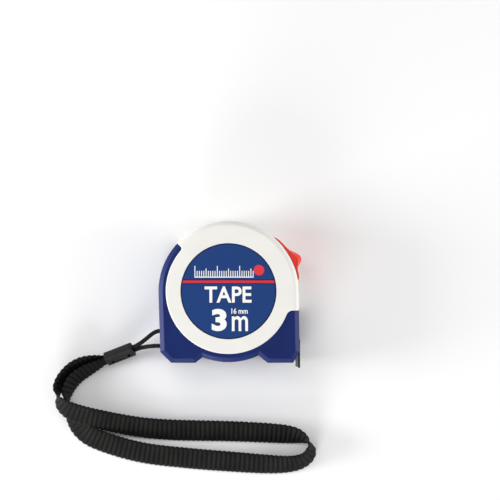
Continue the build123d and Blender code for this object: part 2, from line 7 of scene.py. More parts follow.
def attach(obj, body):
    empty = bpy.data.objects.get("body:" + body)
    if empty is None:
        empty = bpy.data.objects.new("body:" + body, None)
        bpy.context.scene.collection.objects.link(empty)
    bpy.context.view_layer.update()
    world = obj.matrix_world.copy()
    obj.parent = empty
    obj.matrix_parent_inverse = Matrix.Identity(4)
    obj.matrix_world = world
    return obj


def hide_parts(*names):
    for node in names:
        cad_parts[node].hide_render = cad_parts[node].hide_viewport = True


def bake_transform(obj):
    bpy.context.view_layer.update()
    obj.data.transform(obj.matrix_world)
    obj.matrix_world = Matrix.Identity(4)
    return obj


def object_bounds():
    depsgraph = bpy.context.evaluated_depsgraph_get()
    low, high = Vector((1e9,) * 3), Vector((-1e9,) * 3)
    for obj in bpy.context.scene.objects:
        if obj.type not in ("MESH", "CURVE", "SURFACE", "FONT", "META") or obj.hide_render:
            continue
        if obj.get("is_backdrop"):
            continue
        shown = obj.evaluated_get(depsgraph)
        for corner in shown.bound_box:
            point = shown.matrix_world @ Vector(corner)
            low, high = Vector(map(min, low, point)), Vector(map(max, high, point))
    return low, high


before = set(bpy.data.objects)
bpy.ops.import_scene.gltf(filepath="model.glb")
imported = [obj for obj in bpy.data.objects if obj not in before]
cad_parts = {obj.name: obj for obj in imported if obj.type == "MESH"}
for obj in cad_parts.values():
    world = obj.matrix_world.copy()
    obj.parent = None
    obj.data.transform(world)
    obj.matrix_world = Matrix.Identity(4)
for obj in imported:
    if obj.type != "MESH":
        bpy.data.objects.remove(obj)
cadBox = [list(corner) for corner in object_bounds()]
mm = 0.001  # lengths and places below are in mm, unless a note says otherwise


def toMetres(points):
    return [tuple(value * mm for value in point) for point in points]


def selectOnly(obj):
    bpy.ops.object.select_all(action="DESELECT")
    obj.select_set(True)
    bpy.context.view_layer.objects.active = obj


def colour(hexCode, alpha=1.0):  # sRGB hex to the linear values that nodes take
    channels = [int(hexCode[i:i + 2], 16) / 255 for i in (1, 3, 5)]
    linear = [c / 12.92 if c <= 0.04045 else ((c + 0.055) / 1.055) ** 2.4 for c in channels]
    return (*linear, alpha)


def addNode(tree, kind, values=None, links=None, **settings):
    node = tree.nodes.new(kind)
    for name, value in settings.items():
        setattr(node, name, value)
    for name, value in (values or {}).items():
        node.inputs[name].default_value = value
    for name, source in (links or {}).items():
        tree.links.new(source, node.inputs[name])
    return node


def startMaterial(name):
    material = bpy.data.materials.new(name)
    material.use_nodes = True
    material.node_tree.nodes.clear()
    return material, material.node_tree


def finishMaterial(tree, shader):
    addNode(tree, "ShaderNodeOutputMaterial", links={"Surface": shader.outputs[0]})


def paint(material, *names):
    for name in names:
        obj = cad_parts[name]
        if not obj.material_slots:
            obj.data.materials.append(material)
        for place in obj.material_slots:
            place.link = "OBJECT"
            place.material = material


# camera, straight above, in metres
view = {
    "look": (0.0096, 0.0184, 0.021),   # point in the middle of the picture
    "height": 2.5,                     # camera above that point
    "across": 0.2238,                  # width seen at that point
    "sensor": 36,                      # mm
    "nearest": 0.01,                   # nothing closer to the lens than this is drawn
}
lookX, lookY, lookZ = view["look"]
bpy.ops.object.camera_add(location=(lookX, lookY, lookZ + view["height"]))
camera = bpy.context.object
camera.data.sensor_width = view["sensor"]
camera.data.lens = view["sensor"] * view["height"] / view["across"]
camera.data.clip_start = view["nearest"]
bpy.context.scene.camera = camera
bpy.context.scene.view_settings.view_transform = "Standard"  # plain sRGB, so hex colours stay true

lamps = [  # name, place and size in metres, watts
    ("keyLamp", (-0.3, 0.4, 0.8), 0.5, 1.9),
    ("leftStrip", (-0.7, -0.05, 0.2), 0.35, 5.4),
    ("rightStrip", (0.75, -0.05, 0.22), 0.35, 3.6),
    ("frontStrip", (-0.25, -0.75, 0.24), 0.4, 4.0),
]
for name, place, size, watts in lamps:
    bpy.ops.object.light_add(type="AREA", location=place)
    lamp = bpy.context.object
    lamp.name = name
    lamp.data.size = size
    lamp.data.energy = watts
    lamp.rotation_euler = (Vector((0, 0, 0)) - Vector(place)).to_track_quat("-Z", "Y").to_euler()

sky = {"colour": "#FFFFFF", "strength": 0.4}
world = bpy.data.worlds.new("studioSky")
bpy.context.scene.world = world
world.use_nodes = True
background = world.node_tree.nodes["Background"]
background.inputs["Color"].default_value = colour(sky["colour"])
background.inputs["Strength"].default_value = sky["strength"]

sweep = {"across": 4, "colour": "#F7F7F7", "roughness": 0.9, "specular": 0.1}  # 4 metres
bpy.ops.mesh.primitive_plane_add(size=sweep["across"], location=(0, 0, 0))
floor = bpy.context.object
floor.name = "floor"
paper, tree = startMaterial("paperSweep")  # matt white paper: no gloss, a soft contact shadow
finishMaterial(tree, addNode(tree, "ShaderNodeBsdfPrincipled", {
    "Base Color": colour(sweep["colour"]), "Roughness": sweep["roughness"],
    "Specular IOR Level": sweep["specular"]}))
floor.data.materials.append(paper)
floor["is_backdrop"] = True
print("camera, light and floor")


# moulded plastics and rubbers: a cloudy tone, the mould's grain in gloss and relief, soft edges
moulding = {
    "clouds": 120.0,       # noise scale of the slow change of tone
    "duller": 0.07,        # roughness added on the grain's peaks
    "glossier": 0.05,      # and taken off in its hollows
    "relief": 0.05,        # height of the grain
    "specular": 0.4,       # for a plastic that gives none of its own
}
noiseEnds = (0.3, 0.7)     # nearly all of a noise texture's values lie between these


def tintRamp(tree, factor, ends, shade, base):  # from the darker tone to the lighter one
    ramp = addNode(tree, "ShaderNodeValToRGB", links={"Fac": factor})
    for stop, position, hexCode in zip(ramp.color_ramp.elements, ends, (shade, base)):
        stop.position = position
        stop.color = colour(hexCode)
    return ramp.outputs["Color"]


def glossRange(tree, factor, low, high, ends=noiseEnds):  # roughness between two values
    gloss = addNode(tree, "ShaderNodeMapRange",
                    {"From Min": ends[0], "From Max": ends[1], "To Min": low, "To Max": high},
                    {"Value": factor})
    return gloss.outputs["Result"]


def grainedPlastic(name, look):
    material, tree = startMaterial(name)
    place = addNode(tree, "ShaderNodeTexCoord")
    cloudy = addNode(tree, "ShaderNodeTexNoise", {"Scale": moulding["clouds"], "Detail": 2.0},
                     {"Vector": place.outputs["Object"]})
    tint = tintRamp(tree, cloudy.outputs["Fac"], noiseEnds, look["shade"], look["base"])
    grain = addNode(tree, "ShaderNodeTexNoise",
                    {"Scale": 1 / (look["grain"] * mm), "Detail": 2.0, "Roughness": 0.6},
                    {"Vector": place.outputs["Object"]})
    gloss = glossRange(tree, grain.outputs["Fac"], look["roughness"] - moulding["glossier"],
                       look["roughness"] + moulding["duller"])
    softEdge = addNode(tree, "ShaderNodeBevel", {"Radius": look["edge"] * mm}, samples=4)
    bump = addNode(tree, "ShaderNodeBump",
                   {"Strength": look["bump"], "Distance": moulding["relief"] * mm},
                   {"Height": grain.outputs["Fac"], "Normal": softEdge.outputs["Normal"]})
    shader = addNode(tree, "ShaderNodeBsdfPrincipled",
                     {"IOR": look["ior"],
                      "Specular IOR Level": look.get("specular", moulding["specular"])},
                     {"Base Color": tint, "Roughness": gloss, "Normal": bump.outputs["Normal"]})
    finishMaterial(tree, shader)
    return material


# moulded ABS: warm white, satin, with the fine even grain of a spark-eroded mould
whiteAbs = grainedPlastic("mouldedAbsWhite", {
    "base": "#EBE9E4", "shade": "#E7E5E0", "roughness": 0.42, "grain": 0.35, "bump": 0.12,
    "edge": 0.35, "ior": 1.5})
paint(whiteAbs, "rear_shell", "front_shell")

# overmoulded thermoplastic rubber: navy and satin, with rounded edges that catch the light
softTouch = grainedPlastic("overmouldedTpeNavy", {
    "base": "#122664", "shade": "#10215A", "roughness": 0.42, "grain": 0.3, "bump": 0.15,
    "edge": 0.5, "ior": 1.5, "specular": 0.2})
paint(softTouch, "rear_grip", "front_grip")

# moulded ABS in signal red: a little glossier than the case because thumbs polish it
redAbs = grainedPlastic("mouldedAbsRed", {
    "base": "#EE3A2B", "shade": "#E83526", "roughness": 0.33, "grain": 0.4, "bump": 0.08,
    "edge": 0.3, "ior": 1.5})
paint(redAbs, "lock_button", "lock_arm")

# glass-filled nylon: near black with a satin skin
blackNylon = grainedPlastic("mouldedNylonBlack", {
    "base": "#121212", "shade": "#0D0D0E", "roughness": 0.36, "grain": 0.3, "bump": 0.1,
    "edge": 0.25, "ior": 1.53})

# acetal: waxy and smooth, used where parts slide
blackAcetal = grainedPlastic("mouldedAcetalBlack", {
    "base": "#2A2A2B", "shade": "#242425", "roughness": 0.4, "grain": 0.6, "bump": 0.05,
    "edge": 0.2, "ior": 1.48})
paint(blackAcetal, "centre_post", "blade_guide", "strap_pin")
whiteAcetal = grainedPlastic("mouldedAcetalWhite", {
    "base": "#E9E8E2", "shade": "#E2E1DA", "roughness": 0.4, "grain": 0.6, "bump": 0.05,
    "edge": 0.15, "ior": 1.48})
paint(whiteAcetal, "rear_thrust_washer", "front_thrust_washer")

# polystyrene: hard grey plastic with flow marks
greyStyrene = grainedPlastic("mouldedPolystyreneGrey", {
    "base": "#A2A19C", "shade": "#94938E", "roughness": 0.35, "grain": 0.9, "bump": 0.06,
    "edge": 0.2, "ior": 1.59})
paint(greyStyrene, "spool_drum", "spool_flange")

# nitrile rubber: dull black, slightly dusty
blackRubber = grainedPlastic("mouldedNitrileBlack", {
    "base": "#252524", "shade": "#1B1B1B", "roughness": 0.75, "grain": 0.25, "bump": 0.25,
    "edge": 0.2, "ior": 1.52})
paint(blackRubber, "hook_bumper", "brake_pad")


# metals: a rolled or tumbled grain in the roughness, and a tint for the plating
plating = {"duller": 0.1, "glossier": 0.08, "relief": 0.03, "tones": (0.35, 0.65)}


def platedMetal(name, look):
    material, tree = startMaterial(name)
    place = addNode(tree, "ShaderNodeTexCoord")
    stretch = addNode(tree, "ShaderNodeMapping", {"Scale": look["stretch"]},
                      {"Vector": place.outputs["Object"]})
    marks = addNode(tree, "ShaderNodeTexNoise",
                    {"Scale": 1 / (look["grain"] * mm), "Detail": 3.0},
                    {"Vector": stretch.outputs["Vector"]})
    tint = tintRamp(tree, marks.outputs["Fac"], plating["tones"], look["shade"], look["base"])
    gloss = glossRange(tree, marks.outputs["Fac"], look["roughness"] - plating["glossier"],
                       look["roughness"] + plating["duller"])
    softEdge = addNode(tree, "ShaderNodeBevel", {"Radius": look["edge"] * mm}, samples=4)
    bump = addNode(tree, "ShaderNodeBump",
                   {"Strength": look["bump"], "Distance": plating["relief"] * mm},
                   {"Height": marks.outputs["Fac"], "Normal": softEdge.outputs["Normal"]})
    shader = addNode(tree, "ShaderNodeBsdfPrincipled", {"Metallic": 1.0},
                     {"Base Color": tint, "Roughness": gloss, "Normal": bump.outputs["Normal"]})
    finishMaterial(tree, shader)
    return material


# zinc-plated steel: bright grey, tumbled, no clear grain direction
zincSteel = platedMetal("zincPlatedSteel", {
    "base": "#C4C6C8", "shade": "#A9ABAE", "roughness": 0.32, "grain": 0.5,
    "stretch": (1, 1, 1), "bump": 0.1, "edge": 0.1})
paint(zincSteel, "case_screws", "hook_rivets")

# blued spring steel: dark, its rolling marks drawn out along the case's axis
bluedSteel = platedMetal("bluedSpringSteel", {
    "base": "#7A8496", "shade": "#5C6577", "roughness": 0.3, "grain": 0.4,
    "stretch": (1, 1, 0.1), "bump": 0.08, "edge": 0.05})
paint(bluedSteel, "return_spring")

# pressed steel: lacquered black on the outside, bare and satin grey on the inside of the leg
hookSteel = {
    "bareFrom": 31.25, "bareTo": 31.05,   # x where the lacquer thins out and is gone
    "lacquer": "#141415", "bare": "#8E8F92", "metallic": (0.3, 0.95),
    "roughness": 0.36, "grain": 0.5, "bump": 0.12, "edge": 0.15,
}


def halfLacqueredSteel(name, look):
    material, tree = startMaterial(name)
    place = addNode(tree, "ShaderNodeTexCoord")
    axes = addNode(tree, "ShaderNodeSeparateXYZ", links={"Vector": place.outputs["Object"]})
    bare = addNode(tree, "ShaderNodeMapRange",
                   {"From Min": look["bareFrom"] * mm, "From Max": look["bareTo"] * mm,
                    "To Min": 0.0, "To Max": 1.0}, {"Value": axes.outputs["X"]})
    marks = addNode(tree, "ShaderNodeTexNoise",
                    {"Scale": 1 / (look["grain"] * mm), "Detail": 3.0},
                    {"Vector": place.outputs["Object"]})
    tint = tintRamp(tree, bare.outputs["Result"], (0.0, 1.0), look["lacquer"], look["bare"])
    metal = addNode(tree, "ShaderNodeMapRange",
                    {"To Min": look["metallic"][0], "To Max": look["metallic"][1]},
                    {"Value": bare.outputs["Result"]})
    softEdge = addNode(tree, "ShaderNodeBevel", {"Radius": look["edge"] * mm}, samples=4)
    bump = addNode(tree, "ShaderNodeBump",
                   {"Strength": look["bump"], "Distance": plating["relief"] * mm},
                   {"Height": marks.outputs["Fac"], "Normal": softEdge.outputs["Normal"]})
    finishMaterial(tree, addNode(tree, "ShaderNodeBsdfPrincipled", {"Roughness": look["roughness"]},
                                 {"Base Color": tint, "Metallic": metal.outputs["Result"],
                                  "Normal": bump.outputs["Normal"]}))
    return material


paint(halfLacqueredSteel("pressedSteelBlackened", hookSteel), "end_hook")
print("materials for the CAD pieces")

# labels: film on both faces, the front one with a stripe and printed figures
film = {
    "top": 27.9, "radius": 21.4, "outline": 0.5,
    "stripe": (3.6, 4.85), "stripeEdge": 0.4,
    "blue": "#203F7A", "deep": "#1E3C74", "dark": "#10204A", "red": "#CC3641",
    "dots": 0.6, "roughness": (0.3, 0.38), "specular": 0.15, "bump": 0.03, "relief": 0.02,
}


def labelMaterial(name, look, striped):
    material, tree = startMaterial(name)
    place = addNode(tree, "ShaderNodeTexCoord")
    axes = addNode(tree, "ShaderNodeSeparateXYZ", links={"Vector": place.outputs["Object"]})
    flat = addNode(tree, "ShaderNodeCombineXYZ",
                   links={"X": axes.outputs["X"], "Y": axes.outputs["Y"]})
    reach = addNode(tree, "ShaderNodeVectorMath", links={0: flat.outputs[0]}, operation="LENGTH")
    rim = addNode(tree, "ShaderNodeMath", {1: (look["radius"] - look["outline"]) * mm},
                  {0: reach.outputs["Value"]}, operation="GREATER_THAN")
    dots = addNode(tree, "ShaderNodeTexNoise", {"Scale": 1 / (look["dots"] * mm), "Detail": 2.0},
                   {"Vector": place.outputs["Object"]})  # the print's fine unevenness
    shade = tintRamp(tree, dots.outputs["Fac"], noiseEnds, look["deep"], look["blue"])

    def over(under, mask, hexCode):  # paints a colour where the mask is 1
        mix = addNode(tree, "ShaderNodeMixRGB", {"Color2": colour(hexCode)},
                      {"Color1": under, "Fac": mask})
        return mix.outputs["Color"]

    if striped:
        low, high = look["stripe"]
        for margin, hexCode in ((look["stripeEdge"], look["dark"]), (0.0, look["red"])):
            above = addNode(tree, "ShaderNodeMath", {1: (low - margin) * mm},
                            {0: axes.outputs["Y"]}, operation="GREATER_THAN")
            below = addNode(tree, "ShaderNodeMath", {1: (high + margin) * mm},
                            {0: axes.outputs["Y"]}, operation="LESS_THAN")
            band = addNode(tree, "ShaderNodeMath", operation="MULTIPLY",
                           links={0: above.outputs[0], 1: below.outputs[0]})
            shade = over(shade, band.outputs[0], hexCode)
    shade = over(shade, rim.outputs[0], look["dark"])
    gloss = glossRange(tree, dots.outputs["Fac"], *look["roughness"])
    bump = addNode(tree, "ShaderNodeBump",
                   {"Strength": look["bump"], "Distance": look["relief"] * mm},
                   {"Height": dots.outputs["Fac"]})
    finishMaterial(tree, addNode(tree, "ShaderNodeBsdfPrincipled",
                                 {"IOR": 1.5, "Specular IOR Level": look["specular"]},
                                 {"Base Color": shade, "Roughness": gloss,
                                  "Normal": bump.outputs["Normal"]}))
    return material


# polyester label film, screen printed: a flat mid blue with an even satin varnish
paint(labelMaterial("printedPolyesterFilm", film, True), "front_label")
paint(labelMaterial("printedPolyesterFilmPlain", film, False), "rear_label")

# screen-print ink: matt, faintly mottled, laid as a thin layer over the film
ink = {
    "lift": 0.05, "under": 0.02,              # thickness of a figure and of its dark outline
    "outline": 0.16, "outlineWeight": 0.02,   # how far the outline grows past the figure
    "curve": 6, "weld": 0.005,                # points on each curve, and which of them are one
    "mottle": 0.4, "bump": 0.05, "relief": 0.01, "roughness": 0.45,
}


def inkMaterial(name, base, shade):
    material, tree = startMaterial(name)
    place = addNode(tree, "ShaderNodeTexCoord")
    mottle = addNode(tree, "ShaderNodeTexNoise", {"Scale": 1 / (ink["mottle"] * mm), "Detail": 2.0},
                     {"Vector": place.outputs["Object"]})
    tint = tintRamp(tree, mottle.outputs["Fac"], noiseEnds, shade, base)
    bump = addNode(tree, "ShaderNodeBump",
                   {"Strength": ink["bump"], "Distance": ink["relief"] * mm},
                   {"Height": mottle.outputs["Fac"]})
    finishMaterial(tree, addNode(tree, "ShaderNodeBsdfPrincipled",
                                 {"Roughness": ink["roughness"], "IOR": 1.5},
                                 {"Base Color": tint, "Normal": bump.outputs["Normal"]}))
    return material


whiteInk = inkMaterial("screenInkWhite", "#F6F6F5", "#EFEFEE")
darkInk = inkMaterial("screenInkNavy", "#132450", "#101F47")
redInk = inkMaterial("screenInkRed", "#E0303A", "#D42B35")

figures = {  # words, weight, left, right, bottom, top, in mm
    "figureTape": ("TAPE", 0.02, -10.7, 10.3, -5.1, 2.15),
    "figureThree": ("3", 0.045, -7.5, -0.8, -17.8, -7.9),
    "figureMetre": ("m", 0.012, 1.5, 8.7, -17.8, -11.1),
    "figureWidth": ("16 mm", 0.02, 1.3, 8.6, -10.1, -7.6),
}


def printFigure(name, words, weight, edges, height, material):
    bpy.ops.object.select_all(action="DESELECT")
    bpy.ops.object.text_add(location=(0, 0, 0))
    obj = bpy.context.object
    obj.data.body = words
    obj.data.size = 1
    obj.data.offset = weight
    obj.data.resolution_u = ink["curve"]
    bpy.ops.object.convert(target="MESH")
    obj = bpy.context.object
    obj.name = name
    left, right, bottom, top = (value * mm for value in edges)
    xs = [v.co.x for v in obj.data.vertices]
    ys = [v.co.y for v in obj.data.vertices]
    wide, tall = (right - left) / (max(xs) - min(xs)), (top - bottom) / (max(ys) - min(ys))
    obj.scale = (wide, tall, 1)
    obj.location = (left - min(xs) * wide, bottom - min(ys) * tall, film["top"] * mm)
    bpy.ops.object.transform_apply(location=True, rotation=False, scale=True)
    bpy.ops.object.mode_set(mode="EDIT")
    bpy.ops.mesh.select_all(action="SELECT")
    bpy.ops.mesh.remove_doubles(threshold=ink["weld"] * mm)
    bpy.ops.mesh.extrude_region_move(TRANSFORM_OT_translate={"value": (0, 0, height * mm)})
    bpy.ops.mesh.select_all(action="SELECT")
    bpy.ops.mesh.normals_make_consistent(inside=False)
    bpy.ops.object.mode_set(mode="OBJECT")
    bpy.ops.object.shade_flat()
    obj.data.materials.append(material)
    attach(obj, "case")


for name, (words, weight, *edges) in figures.items():
    grow = ink["outline"]
    wider = (edges[0] - grow, edges[1] + grow, edges[2] - grow, edges[3] + grow)
    heavier = weight + ink["outlineWeight"]
    printFigure(name + "Outline", words, heavier, wider, ink["under"], darkInk)
    printFigure(name, words, weight, edges, ink["lift"], whiteInk)

# a short printed rule and a round dot above the stripe
rule = {
    "left": -15.0, "step": 1.0, "count": 26, "foot": 6.5, "line": 0.38,
    "heights": (2.6, 3.6, 4.8),          # of each mark, each fifth and each tenth
    "baseDrop": 0.2, "baseLine": 0.45,   # the line along the foot of the marks
    "dot": (13.6, 9.4, 2.35), "dotSides": 64,
}
inkMiddle = (film["top"] + ink["lift"] / 2) * mm


def printBar(x, y, wide, tall):  # a bar of ink about a point of the label, in mm
    bpy.ops.mesh.primitive_cube_add(size=1, location=(x * mm, y * mm, inkMiddle),
                                    scale=(wide * mm, tall * mm, ink["lift"] * mm))
    return bpy.context.object


bars = []
for n in range(rule["count"] + 1):
    tall = rule["heights"][2 if n % 10 == 0 else 1 if n % 5 == 0 else 0]
    bars.append(printBar(rule["left"] + n * rule["step"], rule["foot"] + tall / 2,
                         rule["line"], tall))
bars.append(printBar(rule["left"] + rule["count"] * rule["step"] / 2,
                     rule["foot"] - rule["baseDrop"],
                     rule["count"] * rule["step"] + rule["line"], rule["baseLine"]))
bpy.ops.object.select_all(action="DESELECT")
for bar in bars:
    bar.select_set(True)
bpy.context.view_layer.objects.active = bars[0]
bpy.ops.object.join()
printedRule = bpy.context.object
printedRule.name = "printedRule"
bpy.ops.object.transform_apply(location=True, rotation=True, scale=True)
printedRule.data.materials.append(whiteInk)
dotX, dotY, dotR = (value * mm for value in rule["dot"])
bpy.ops.mesh.primitive_cylinder_add(vertices=rule["dotSides"], radius=dotR,
                                    depth=ink["lift"] * mm, location=(dotX, dotY, inkMiddle))
printedDot = bpy.context.object
printedDot.name = "printedDot"
bpy.ops.object.transform_apply(location=True, rotation=True, scale=True)
printedDot.data.materials.append(redInk)
for obj in (printedRule, printedDot):
    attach(obj, "case")
print("label and print")


# crimp: the moulded clamp between cord and webbing, with its angles in degrees
crimp = {
    "long": 13.7, "wide": 5.4, "high": 4.4, "at": (-49.1, -28.5), "clear": 0.05,
    "turn": 21.6, "roll": 50, "pitch": 10, "corner": 0.6, "cornerSteps": 5,
    "holes": (-3.85, 4.0), "holeR": 0.82, "holeDeep": 1.3, "holeDown": 0.75,
    "teeth": (-1.9, -0.4, 1.1), "toothR": 0.5, "toothDeep": 0.5, "toothDown": 1.1,
    "sides": 24,                             # of each hole and tooth
    "mouth": (1.6, 4.2, 3.0),                # where the cord and the webbing go in
    "partingUp": 0.5, "partingWide": 0.12,   # the line where its two halves meet
    "lip": 0.95, "lipGroove": 0.35, "grooveDeep": 0.2, "past": 20,
    "smooth": 35,
}
turn, roll, pitch = (math.radians(crimp[key]) for key in ("turn", "roll", "pitch"))
crimpAlong = Vector((math.cos(pitch) * math.cos(turn), math.cos(pitch) * math.sin(turn),
                     math.sin(pitch)))
crimpLevel = Vector((-math.sin(turn), math.cos(turn), 0))
crimpUp = crimpLevel * -math.sin(roll) + crimpAlong.cross(crimpLevel) * math.cos(roll)
crimpAcross = crimpUp.cross(crimpAlong)
crimpZ = ((crimp["wide"] * math.sin(roll) + crimp["high"] * math.cos(roll)) * math.cos(pitch)
          + crimp["long"] * math.sin(pitch)) / 2 + crimp["clear"]
crimpPlace = Matrix.Translation(Vector((*crimp["at"], crimpZ)) * mm) @ Matrix(
    (crimpAlong, crimpAcross, crimpUp)).transposed().to_4x4()

bpy.ops.object.select_all(action="DESELECT")
bpy.ops.mesh.primitive_cube_add(size=1, scale=(
    crimp["long"] * mm, crimp["wide"] * mm, crimp["high"] * mm))
clamp = bpy.context.object
clamp.name = "crimpClamp"
bpy.ops.object.transform_apply(location=False, rotation=False, scale=True)
bpy.ops.object.mode_set(mode="EDIT")
bpy.ops.mesh.select_all(action="SELECT")
bpy.ops.mesh.bevel(offset=crimp["corner"] * mm, segments=crimp["cornerSteps"], profile=0.5,
                   affect="EDGES")
bpy.ops.object.mode_set(mode="OBJECT")


def cutFrom(target, cutter):
    selectOnly(target)
    cut = target.modifiers.new("cut", "BOOLEAN")
    cut.operation = "DIFFERENCE"
    cut.object = cutter
    cut.solver = "EXACT"
    bpy.ops.object.modifier_apply(modifier="cut")
    bpy.data.objects.remove(cutter)


faceZ = crimp["high"] / 2 * mm
for kind, radius, deep, down in (("holes", "holeR", "holeDeep", "holeDown"),
                                 ("teeth", "toothR", "toothDeep", "toothDown")):
    for x in crimp[kind]:
        bpy.ops.mesh.primitive_cylinder_add(
            vertices=crimp["sides"], radius=crimp[radius] * mm, depth=2 * crimp[deep] * mm,
            location=(x * mm, -crimp[down] * mm, faceZ))
        cutFrom(clamp, bpy.context.object)
for side in (-1, 1):  # a mouth at each end
    bpy.ops.mesh.primitive_cube_add(size=1, location=(side * crimp["long"] / 2 * mm, 0, 0),
                                    scale=[v * mm for v in crimp["mouth"]])
    cutFrom(clamp, bpy.context.object)


def grooveRound(axis, at, wide):  # a fine groove all round the crimp, square to one axis
    place, band = [0, 0, 0], [crimp["past"]] * 3
    core = [crimp[key] - 2 * crimp["grooveDeep"] for key in ("long", "wide", "high")]
    place[axis], band[axis], core[axis] = at, wide, 2 * wide
    boxes = []
    for extent in (band, core):  # the core comes out of the band, and the ring out of the crimp
        bpy.ops.mesh.primitive_cube_add(size=1, location=[v * mm for v in place],
                                        scale=[v * mm for v in extent])
        boxes.append(bpy.context.object)
    cutFrom(*boxes)
    cutFrom(clamp, boxes[0])


grooveRound(2, crimp["partingUp"], crimp["partingWide"])
for side in (-1, 1):  # the groove behind the lip at each end
    grooveRound(0, side * (crimp["long"] / 2 - crimp["lip"]), crimp["lipGroove"])
clamp.matrix_world = crimpPlace
selectOnly(clamp)
bpy.ops.object.transform_apply(location=True, rotation=True, scale=True)
bpy.ops.object.shade_smooth_by_angle(angle=math.radians(crimp["smooth"]))
clamp.data.materials.append(blackNylon)
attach(clamp, "case")
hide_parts("crimp_body", "crimp_cap")
print("crimp")


def routeLine(name, points, fineness):  # a smooth line along the points of a route
    data = bpy.data.curves.new(name, "CURVE")
    data.dimensions = "3D"
    spline = data.splines.new("NURBS")
    spline.points.add(len(points) - 1)
    for knot, point in zip(spline.points, points):
        knot.co = (*point, 1)
    spline.order_u = 3
    spline.use_endpoint_u = True
    spline.resolution_u = fineness
    route = bpy.data.objects.new(name, data)
    bpy.context.scene.collection.objects.link(route)
    line = bpy.data.meshes.new_from_object(route)
    found = [v.co.copy() for v in line.vertices]
    bpy.data.objects.remove(route)
    return found


def skin(name, rows, uvRows, material):  # a closed tube through rows of points
    verts = [point for row in rows for point in row]
    count = len(rows[0])
    faces, uvs = [], []
    for i in range(len(rows) - 1):
        for j in range(count):
            k = (j + 1) % count
            faces.append((i * count + j, i * count + k, (i + 1) * count + k, (i + 1) * count + j))
            uvs.append([uvRows[i][j], uvRows[i][j + 1], uvRows[i + 1][j + 1], uvRows[i + 1][j]])
    faces.append(tuple(reversed(range(count))))
    uvs.append([uvRows[0][j] for j in reversed(range(count))])
    last = (len(rows) - 1) * count
    faces.append(tuple(range(last, last + count)))
    uvs.append([uvRows[-1][j] for j in range(count)])
    mesh = bpy.data.meshes.new(name)
    mesh.from_pydata(verts, [], faces)
    layer = mesh.uv_layers.new(name="along")
    for face, corners in zip(mesh.polygons, uvs):
        for loop, uv in zip(face.loop_indices, corners):
            layer.data[loop].uv = uv
    obj = bpy.data.objects.new(name, mesh)
    bpy.context.scene.collection.objects.link(obj)
    obj.data.materials.append(material)
    selectOnly(obj)
    bpy.ops.object.mode_set(mode="EDIT")
    bpy.ops.mesh.select_all(action="SELECT")
    bpy.ops.mesh.normals_make_consistent(inside=False)
    bpy.ops.object.mode_set(mode="OBJECT")
    bpy.ops.object.shade_smooth()
    return obj


def distances(points):  # from the start of a line to each of its points
    run = [0.0]
    for a, b in zip(points, points[1:]):
        run.append(run[-1] + (b - a).length)
    return run


def evenSteps(run, step):  # for each step along a line: its span, the part of it, the distance
    found, n, s = [], 0, 0.0
    while s <= run[-1]:
        while n < len(run) - 2 and run[n + 1] < s:
            n += 1
        found.append((n, (s - run[n]) / max(run[n + 1] - run[n], 1e-9), s))
        s += step
    return found


# yarn: black polyester, dull, with a faint sheen and single threads about 0.25 mm across
yarn = {
    "patch": 9.0,            # size of the slow light and dark patches
    "crown": (0.1, 1.2),     # painted shade in the valleys between ribs and painted highlight on their crowns
    "tones": (0.08, 0.4), "bump": 0.5, "relief": 0.08, "specular": 0.18,
    "sheenTint": "#B8B4AC", "sheenRoughness": 0.4,
}


def yarnMaterial(name, look):
    material, tree = startMaterial(name)
    place = addNode(tree, "ShaderNodeUVMap", uv_map="along")
    spread = addNode(tree, "ShaderNodeMapping", {"Scale": look["threads"]},
                     {"Vector": place.outputs["UV"]})
    fibre = addNode(tree, "ShaderNodeTexNoise", {"Scale": 1.0, "Detail": 4.0, "Roughness": 0.65},
                    {"Vector": spread.outputs["Vector"]})
    patchy = addNode(tree, "ShaderNodeTexNoise", {"Scale": 1 / (yarn["patch"] * mm), "Detail": 1.0},
                     {"Vector": place.outputs["UV"]})
    both = addNode(tree, "ShaderNodeMath", operation="MULTIPLY",
                   links={0: fibre.outputs["Fac"], 1: patchy.outputs["Fac"]})
    lit = both.outputs[0]
    if "rib" in look:  # a painted highlight on the crowns of the ribs, painted shade in the valleys between
        axes = addNode(tree, "ShaderNodeSeparateXYZ", links={"Vector": place.outputs["UV"]})
        phase = addNode(tree, "ShaderNodeMath", {1: math.pi / (look["rib"] * mm)},
                        {0: axes.outputs["X"]}, operation="MULTIPLY")
        swing = addNode(tree, "ShaderNodeMath", links={0: phase.outputs[0]}, operation="SINE")
        crown = addNode(tree, "ShaderNodeMath", links={0: swing.outputs[0]}, operation="ABSOLUTE")
        lift = addNode(tree, "ShaderNodeMapRange",
                       {"To Min": yarn["crown"][0], "To Max": yarn["crown"][1]},
                       {"Value": crown.outputs[0]})
        ribbed = addNode(tree, "ShaderNodeMath", links={0: lit, 1: lift.outputs["Result"]},
                         operation="MULTIPLY")
        lit = ribbed.outputs[0]
    tint = tintRamp(tree, lit, yarn["tones"], look["deep"], look["base"])
    bump = addNode(tree, "ShaderNodeBump",
                   {"Strength": yarn["bump"], "Distance": yarn["relief"] * mm},
                   {"Height": fibre.outputs["Fac"]})
    finishMaterial(tree, addNode(tree, "ShaderNodeBsdfPrincipled",
                                 {"Roughness": look["roughness"], "IOR": 1.5,
                                  "Specular IOR Level": yarn["specular"],
                                  "Sheen Weight": look["sheen"],
                                  "Sheen Roughness": yarn["sheenRoughness"],
                                  "Sheen Tint": colour(yarn["sheenTint"])},
                                 {"Base Color": tint, "Normal": bump.outputs["Normal"]}))
    return material


# threads are counts a metre, along the cord and round it
braidYarn = yarnMaterial("braidedPolyesterBlack", {
    "base": "#171614", "deep": "#030303", "threads": (4000, 1500, 1), "roughness": 0.7,
    "sheen": 0.03})

